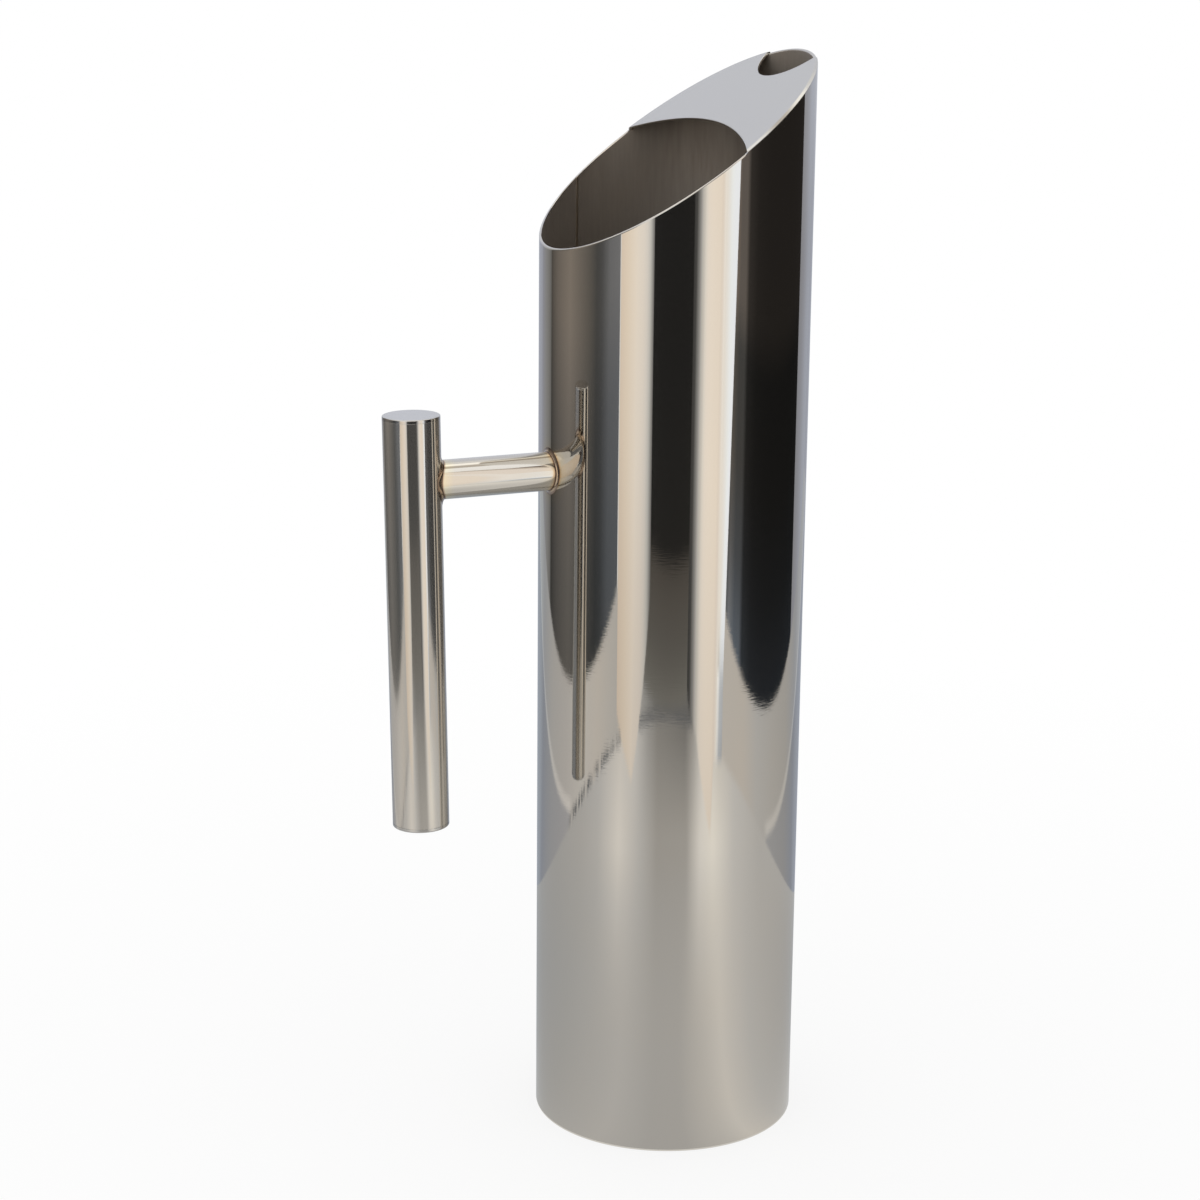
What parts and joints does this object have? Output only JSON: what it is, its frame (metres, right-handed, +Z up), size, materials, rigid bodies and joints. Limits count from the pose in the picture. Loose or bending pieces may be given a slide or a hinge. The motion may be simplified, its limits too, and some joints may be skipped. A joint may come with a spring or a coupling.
{
  "type": "pitcher",
  "caption": "Tall slant-topped pitcher of welded stainless tube, with a flat ice guard, a round pour notch and a T-shaped round handle.",
  "frame": {"origin": "on the body tube's axis, in the plane of the foot's lower edge", "axes": "+Z up along the body tube's axis, +X towards the pouring tip, -X towards the handle, +Y across"},
  "size_m": [0.1456, 0.0888, 0.3618],
  "materials": {
    "body_polish": "mirror polished stainless steel with faint turning lines",
    "plate_polish": "polished stainless sheet",
    "weld": "brushed weld bead with straw-brown heat tint",
    "inner_satin": "dull mill-finish stainless steel",
    "handle_polish": "polished stainless tube with fine long grinding lines"
  },
  "bodies": {
    "root": {"body_tube": "body_polish", "seam_weld": "inner_satin", "base_pan": "inner_satin", "base_weld": "weld", "ice_guard": "plate_polish", "guard_weld": "weld", "handle_arm": "handle_polish", "arm_body_weld": "weld", "arm_grip_weld": "weld", "grip_tube": "handle_polish", "grip_top_cap": "plate_polish", "grip_bottom_cap": "plate_polish"}
  },
  "joints": []
}
